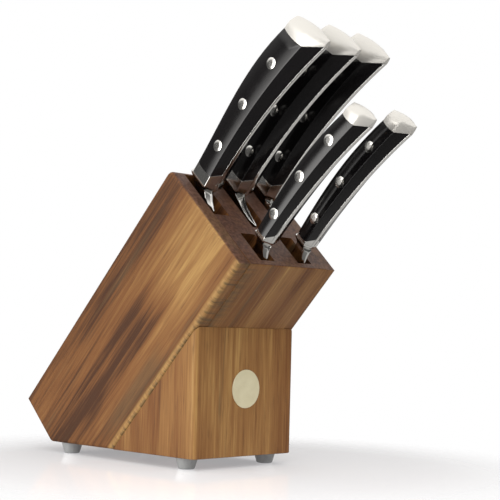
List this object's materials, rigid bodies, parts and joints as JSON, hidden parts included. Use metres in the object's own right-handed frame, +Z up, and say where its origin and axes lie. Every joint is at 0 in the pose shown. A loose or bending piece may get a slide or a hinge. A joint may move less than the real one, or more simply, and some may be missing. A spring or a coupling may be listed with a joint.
{
  "type": "knife block with knives",
  "caption": "Slanted wooden knife block on a wedge support with rubber feet, holding full-tang kitchen knives with black riveted handles that slide out along its slots.",
  "frame": {"origin": "on the floor under the middle of the whole object's bounding box, feet standing at z = 0", "axes": "+X to the block's right seen from the front, +Y towards its back, +Z up; the slots rise towards the front, -Y"},
  "size_m": [0.096, 0.3153, 0.2983],
  "materials": {
    "acacia_dark": "satin oiled",
    "acacia_light": "satin oiled",
    "acacia_end": "satin oiled end grain",
    "dowel_beech": "plain",
    "badge_cream": "satin",
    "foot_rubber": "matt",
    "screw_steel": "plated",
    "handle_black": "gloss",
    "blade_steel": "fine satin, polished bolster",
    "polished_steel": "polished"
  },
  "bodies": {
    "block": {"left_cheek_rear": "acacia_dark", "left_cheek_front": "acacia_light", "right_cheek_rear": "acacia_dark", "right_cheek_front": "acacia_light", "back_board": "acacia_dark", "left_divider": "acacia_end", "right_divider": "acacia_end", "left_slot_filler": "acacia_end", "right_slot_filler": "acacia_end", "rear_slot_floor": "acacia_end", "middle_board": "acacia_end", "left_spacer": "acacia_end", "middle_spacer": "acacia_end", "right_spacer": "acacia_end", "front_slot_floor": "acacia_end", "front_board": "acacia_light", "left_support_stave": "acacia_light", "middle_support_stave": "acacia_light", "right_support_stave": "acacia_dark", "support_dowels": "dowel_beech", "badge": "badge_cream", "rear_left_foot": "foot_rubber", "rear_right_foot": "foot_rubber", "front_left_foot": "foot_rubber", "front_right_foot": "foot_rubber", "foot_screws": "screw_steel"},
    "carving_knife": {"carving_knife_blade": "blade_steel", "carving_knife_left_scale": "handle_black", "carving_knife_right_scale": "handle_black", "carving_knife_rivets": "polished_steel", "carving_knife_cap": "polished_steel"},
    "chefs_knife": {"chefs_knife_blade": "blade_steel", "chefs_knife_left_scale": "handle_black", "chefs_knife_right_scale": "handle_black", "chefs_knife_rivets": "polished_steel", "chefs_knife_cap": "polished_steel"},
    "bread_knife": {"bread_knife_blade": "blade_steel", "bread_knife_left_scale": "handle_black", "bread_knife_right_scale": "handle_black", "bread_knife_rivets": "polished_steel", "bread_knife_cap": "polished_steel"},
    "utility_knife": {"utility_knife_blade": "blade_steel", "utility_knife_left_scale": "handle_black", "utility_knife_right_scale": "handle_black", "utility_knife_rivets": "polished_steel", "utility_knife_cap": "polished_steel"},
    "paring_knife": {"paring_knife_blade": "blade_steel", "paring_knife_left_scale": "handle_black", "paring_knife_right_scale": "handle_black", "paring_knife_rivets": "polished_steel", "paring_knife_cap": "polished_steel"}
  },
  "joints": [
    {"name": "carving_knife_slide", "type": "slide", "parent": "block", "child": "carving_knife", "axis": [0, -0.6858, 0.7278], "range_m": [0, 0.215]},
    {"name": "chefs_knife_slide", "type": "slide", "parent": "block", "child": "chefs_knife", "axis": [0, -0.6858, 0.7278], "range_m": [0, 0.215]},
    {"name": "bread_knife_slide", "type": "slide", "parent": "block", "child": "bread_knife", "axis": [0, -0.6858, 0.7278], "range_m": [0, 0.215]},
    {"name": "utility_knife_slide", "type": "slide", "parent": "block", "child": "utility_knife", "axis": [0, -0.6858, 0.7278], "range_m": [0, 0.14]},
    {"name": "paring_knife_slide", "type": "slide", "parent": "block", "child": "paring_knife", "axis": [0, -0.6858, 0.7278], "range_m": [0, 0.105]}
  ]
}
